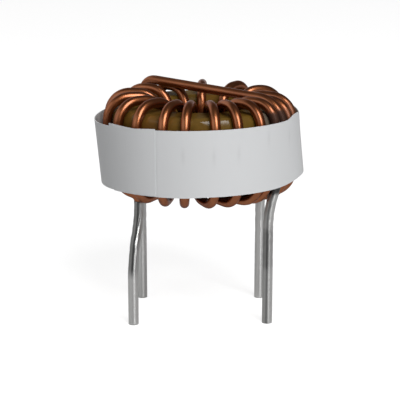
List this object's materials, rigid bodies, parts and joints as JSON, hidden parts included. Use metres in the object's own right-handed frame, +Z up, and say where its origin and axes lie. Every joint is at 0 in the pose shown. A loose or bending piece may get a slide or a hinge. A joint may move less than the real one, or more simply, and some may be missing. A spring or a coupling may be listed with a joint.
{
  "type": "toroidal inductor",
  "caption": "Toroidal inductor: an olive-coated ring core wound with thick copper wire, a loose clear-white tape band round it, standing on tinned wire leads.",
  "frame": {"origin": "on the surface the leads stand on, under the middle of the tape band", "axes": "+Z up through the ring's bore, -Y toward the side with the pair of leads at the rim, +X to the right seen from there"},
  "size_m": [0.0324, 0.0314, 0.0351],
  "materials": {
    "core_coat": "glossy olive-khaki epoxy coat over pressed metal powder",
    "enamelled_copper": "copper wire under glossy clear amber enamel",
    "tape": "thin clear-white polyester tape, satin, slightly see-through",
    "tin": "dull bright tin, drawn along the wire, rough solder near the top of the front left lead"
  },
  "bodies": {
    "root": {"core": "core_coat", "winding_front": "enamelled_copper", "winding_back": "enamelled_copper", "tape": "tape", "tin_front_left": "tin", "tin_front_right": "tin", "tin_back_left": "tin", "tin_back_right": "tin"}
  },
  "joints": []
}
